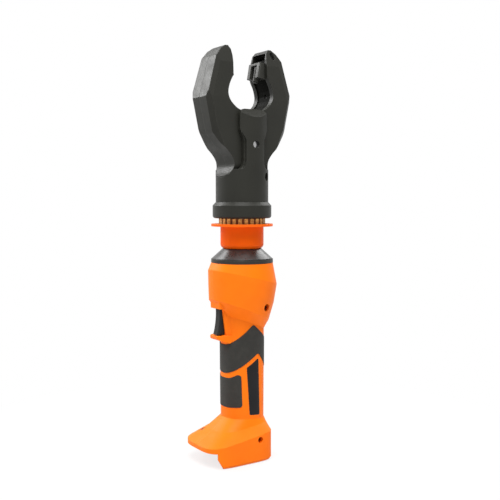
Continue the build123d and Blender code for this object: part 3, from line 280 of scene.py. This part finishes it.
def notched_finish(name, colour, painted_notch_shade, roughness):
    """Clear amber moulding: pale on its outer blocks, with shade painted dark down in the notches, told apart
    by radius.
    """
    material, tree, shader, where = fresh_material(name)
    flat = add_node(tree, "ShaderNodeVectorMath", [(0, where)], [("operation", "MULTIPLY")])
    flat.inputs[1].default_value = (1.0, 1.0, 0.0)
    radius = add_node(tree, "ShaderNodeVectorMath", [(0, flat.outputs[0])], [("operation", "LENGTH")])
    # painted notch shade: dark at the notch floor radius, pale out at the rim
    outside_notch_shade = spread(tree, radius.outputs["Value"], 0.0, 1.0, NOTCH_DEEP, NOTCH_RIM)
    mottle = spread(tree, noise(tree, where, MOTTLE_WAVES, 3.0), 0.45, 1.0, 0.35, 0.6)
    pale = math_node(tree, "MULTIPLY", outside_notch_shade, mottle)
    tree.links.new(blend_colours(tree, pale, painted_notch_shade, colour), shader.inputs["Base Color"])
    grain_height = noise(tree, where, RING_GRAIN_WAVES, 3.0, 0.6)
    fine = spread(tree, grain_height, roughness - 0.06, roughness + 0.06, 0.3, 0.7)
    tree.links.new(fine, shader.inputs["Roughness"])
    normal = rounded_normal(tree, RING_EDGE)
    tree.links.new(bump(tree, grain_height, RING_GRAIN_DEPTH, normal), shader.inputs["Normal"])
    shader.inputs["Specular IOR Level"].default_value = 0.3
    return material


finishes = {
    "housing_orange": moulded_finish("housing_orange", (0.90, 0.176, 0.003), (0.88, 0.163, 0.003),
                                     (0.96, 0.28, 0.03), 0.46, gloss=0.11),
    "grip_rubber": rubber_finish("grip_rubber", (0.026, 0.025, 0.022), (0.042, 0.040, 0.035)),
    "label_dark": moulded_finish("label_dark", (0.012, 0.012, 0.013), (0.016, 0.016, 0.017),
                                 (0.05, 0.05, 0.05), 0.35, grain=2200.0, depth=0.00001, edge=0.0003,
                                 gloss=0.12),
    "dark_screw": metal_finish("dark_screw", (0.035, 0.033, 0.033), (0.022, 0.021, 0.021), 0.45),
    # housing screws: dark metal tinted red-brown, a painted shade standing in for the reddish dark of the
    # orange screw wells they sit in
    "screw_painted_red_shade": metal_finish("screw_painted_red_shade", (0.060, 0.022, 0.014), (0.042, 0.015, 0.010), 0.45),
    "window_clear": moulded_finish("window_clear", (0.20, 0.070, 0.018), (0.16, 0.055, 0.014),
                                   (0.3, 0.11, 0.03), 0.30, depth=0.000005, gloss=0.06),
    "trigger_black": moulded_finish("trigger_black", (0.020, 0.019, 0.018), (0.015, 0.015, 0.014),
                                    (0.06, 0.06, 0.06), 0.45, gloss=0.15),
    "spring_steel": metal_finish("spring_steel", (0.55, 0.55, 0.55), (0.42, 0.42, 0.42), 0.3),
    "contact_metal": metal_finish("contact_metal", (0.78, 0.60, 0.30), (0.62, 0.45, 0.2), 0.28),
    "board_green": moulded_finish("board_green", (0.02, 0.20, 0.07), (0.015, 0.15, 0.05),
                                  (0.2, 0.3, 0.15), 0.4),
    "lead_black": rubber_finish("lead_black", (0.02, 0.02, 0.02), (0.04, 0.04, 0.04)),
    "motor_steel": metal_finish("motor_steel", (0.5, 0.5, 0.5), (0.38, 0.38, 0.38), 0.35),
    "gear_steel": metal_finish("gear_steel", (0.42, 0.42, 0.42), (0.3, 0.3, 0.3), 0.32),
    "pump_alloy": metal_finish("pump_alloy", (0.62, 0.62, 0.64), (0.5, 0.5, 0.52), 0.36, ring_waves=220.0),
    "pump_steel": metal_finish("pump_steel", (0.55, 0.55, 0.56), (0.44, 0.44, 0.45), 0.25),
    "bladder_rubber": rubber_finish("bladder_rubber", (0.03, 0.03, 0.03), (0.05, 0.05, 0.05)),
    "band_black": moulded_finish("band_black", (0.026, 0.025, 0.020), (0.020, 0.019, 0.016),
                                 (0.07, 0.065, 0.055), 0.45, gloss=0.25),
    "cone_dark": moulded_finish("cone_dark", (0.013, 0.011, 0.010), (0.010, 0.009, 0.008),
                                (0.05, 0.045, 0.045), 0.30, depth=0.000004, gloss=0.48),
    "sleeve_orange": moulded_finish("sleeve_orange", (0.82, 0.100, 0.001), (0.79, 0.088, 0.001),
                                    (0.90, 0.16, 0.01), 0.40, depth=0.00002, gloss=0.07),
    "guard_orange": moulded_finish("guard_orange", (0.86, 0.125, 0.003), (0.82, 0.11, 0.003),
                                   (0.94, 0.22, 0.03), 0.4, gloss=0.12),
    # swivel ring: pale amber blocks, with painted shade in the notches as the second colour
    "ring_amber": notched_finish("ring_amber", (1.0, 0.68, 0.20), (0.22, 0.08, 0.012), 0.40),
    "cylinder_steel": metal_finish("cylinder_steel", (0.5, 0.5, 0.5), (0.4, 0.4, 0.4), 0.25),
    "head_charcoal": coated_finish("head_charcoal", (0.021, 0.021, 0.017), (0.018, 0.018, 0.0145),
                                   (0.09, 0.09, 0.08)),
    "cover_charcoal": coated_finish("cover_charcoal", (0.022, 0.022, 0.018), (0.019, 0.019, 0.0155),
                                    (0.10, 0.10, 0.09)),
    "jaw_steel": coated_finish("jaw_steel", (0.004, 0.004, 0.003), (0.003, 0.003, 0.002),
                               (0.02, 0.02, 0.016), 0.6, gloss=0.03),
    "insert_grey": coated_finish("insert_grey", (0.036, 0.036, 0.031), (0.030, 0.030, 0.026),
                                 (0.13, 0.13, 0.12)),
}
slot_of = {entry["node"]: entry["material_slot"] for entry in frame["record"]["subparts"]}
# the housing screws take the red-brown tint of painted shade from their orange wells
finish_of = {**slot_of, "housing_screws": "screw_painted_red_shade"}
for name, node in nodes.items():
    node.data.materials.clear()
    node.data.materials.append(finishes[finish_of[name]])


# Springs, wound in place of the return and trigger spring pieces

def coil_spring(length, radius, wire, turns):
    """Points and faces of round wire wound on a cylinder round Z, from height 0 to length: along the coil the
    centre line turns and climbs evenly, and across it a circle stands square to that line, on its radial and
    its cross direction. Discs close the two ends."""
    share = np.linspace(0.0, 1.0, int(COIL_STEPS * turns) + 1)
    angle = 2.0 * np.pi * turns * share
    flat = np.zeros_like(share)
    climb = length - 2.0 * wire
    steepness = climb / (2.0 * np.pi * turns * radius)
    outward = np.stack([np.cos(angle), np.sin(angle), flat], axis=1)
    line = radius * outward + np.stack([flat, flat, wire + climb * share], axis=1)
    onward = np.stack([-np.sin(angle), np.cos(angle), np.full_like(share, steepness)], axis=1)
    onward /= np.linalg.norm(onward, axis=1, keepdims=True)
    across = np.cross(onward, outward)
    around = (2.0 * np.pi * np.arange(WIRE_SIDES) / WIRE_SIDES)[None, :, None]
    circle = np.cos(around) * outward[:, None, :] + np.sin(around) * across[:, None, :]
    points = (line[:, None, :] + wire * circle).reshape(-1, 3)
    ring = np.arange(len(share) - 1)[:, None] * WIRE_SIDES
    side = np.arange(WIRE_SIDES)[None, :]
    beside = (side + 1) % WIRE_SIDES
    above = ring + WIRE_SIDES
    quads = np.stack([ring + side, ring + beside, above + beside, above + side], axis=2).reshape(-1, 4)
    first = np.arange(WIRE_SIDES)
    last = first + (len(share) - 1) * WIRE_SIDES
    return points, quads.tolist() + [first[::-1].tolist(), last.tolist()]


def fitted_spring(name, node, body, along, wire, turns):
    """Spring in place of a node: wound inside the node's box along an axis, from its near end to its far end.
    """
    low, high = (np.array(corner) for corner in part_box(node))
    size = high - low
    near_end = (low + high) / 2.0
    far_end = near_end.copy()
    near_end[along] = low[along]
    far_end[along] = high[along]
    outer_radius = np.delete(size, along).mean() / 2.0
    points, faces = coil_spring(size[along], outer_radius - wire, wire, turns)
    mesh = bpy.data.meshes.new(name)
    mesh.from_pydata((np.roll(points, along + 1, axis=1) + near_end).tolist(), [], faces)
    mesh.polygons.foreach_set("use_smooth", np.ones(len(mesh.polygons), dtype=bool))
    mesh.materials.append(finishes[slot_of[node]])
    piece = bpy.data.objects.new(name, mesh)
    scene.collection.objects.link(piece)
    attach(piece, body)
    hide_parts(node)
    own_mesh(piece)


fitted_spring("return_coil", "return_spring", "head", 2, RETURN_WIRE, RETURN_TURNS)
fitted_spring("trigger_coil", "trigger_spring", "handle", 0, TRIGGER_WIRE, TRIGGER_TURNS)


# Studio

def pale_floor(level):
    """Pale square floor at a level, which keeps the tool's shadow and turns to plain white away from it."""
    mesh = bpy.data.meshes.new("floor")
    corners = [(-FLOOR_HALF, -FLOOR_HALF, level), (FLOOR_HALF, -FLOOR_HALF, level),
               (FLOOR_HALF, FLOOR_HALF, level), (-FLOOR_HALF, FLOOR_HALF, level)]
    mesh.from_pydata(corners, [], [(0, 1, 2, 3)])
    floor = bpy.data.objects.new("floor", mesh)
    scene.collection.objects.link(floor)
    material, tree, shader, where = fresh_material("floor_white")
    shader.inputs["Base Color"].default_value = (FLOOR_TONE, FLOOR_TONE, FLOOR_TONE, 1.0)
    shader.inputs["Roughness"].default_value = FLOOR_ROUGHNESS
    distance = add_node(tree, "ShaderNodeVectorMath", [(0, where)], [("operation", "LENGTH")])
    fade = spread(tree, distance.outputs["Value"], FLOOR_NEAR_WHITE, 1.0, FLOOR_NEAR, FLOOR_FAR)
    white = math_node(tree, "MULTIPLY", fade, seen_white(tree))
    glow = add_node(tree, "ShaderNodeEmission")
    mixer = add_node(tree, "ShaderNodeMixShader", [(0, white), (1, shader.outputs[0]), (2, glow.outputs[0])])
    output = next(node for node in tree.nodes if node.type == "OUTPUT_MATERIAL")
    tree.links.new(mixer.outputs[0], output.inputs["Surface"])
    mesh.materials.append(material)


def white_world():
    """World that looks plain white and lights the tool with less than that."""
    world = bpy.data.worlds.new("studio")
    scene.world = world
    world.use_nodes = True
    tree = world.node_tree
    background = next(node for node in tree.nodes if node.type == "BACKGROUND")
    background.inputs["Color"].default_value = (1.0, 1.0, 1.0, 1.0)
    tree.links.new(spread(tree, seen_white(tree), WORLD_FILL, 1.0), background.inputs["Strength"])


def softbox(name, place, size, power):
    """Rectangular area lamp at a place, turned to the middle of the tool."""
    lamp = bpy.data.lights.new(name, "AREA")
    lamp.shape = "RECTANGLE"
    lamp.size, lamp.size_y = size
    lamp.energy = power
    holder = bpy.data.objects.new(name, lamp)
    holder.location = place
    holder.rotation_euler = (Vector(LAMP_TARGET) - Vector(place)).to_track_quat("-Z", "Y").to_euler()
    scene.collection.objects.link(holder)


pale_floor(cad_box[0][2] - FLOOR_GAP)
white_world()
for name, (place, size, power) in LAMPS.items():
    softbox(name, place, size, power)

# Camera
toward = Vector((math.sin(-CAMERA_AZIMUTH), math.cos(CAMERA_AZIMUTH), 0.0))
camera_data = bpy.data.cameras.new("camera")
camera_data.sensor_width = SENSOR
camera_data.lens = SENSOR * FOCAL_PIXELS / IMAGE_SIZE
camera = bpy.data.objects.new("camera", camera_data)
camera.location = -CAMERA_DISTANCE * toward + Vector((0.0, 0.0, CAMERA_HEIGHT))
pitch = math.atan((IMAGE_SIZE / 2 - HORIZON_PIXEL) / FOCAL_PIXELS)
turn = math.atan((IMAGE_SIZE / 2 - AXIS_PIXEL) / FOCAL_PIXELS)
camera.rotation_euler = (math.pi / 2 - pitch, 0.0, CAMERA_AZIMUTH - turn)
scene.collection.objects.link(camera)
scene.camera = camera
scene.view_settings.view_transform = "Standard"
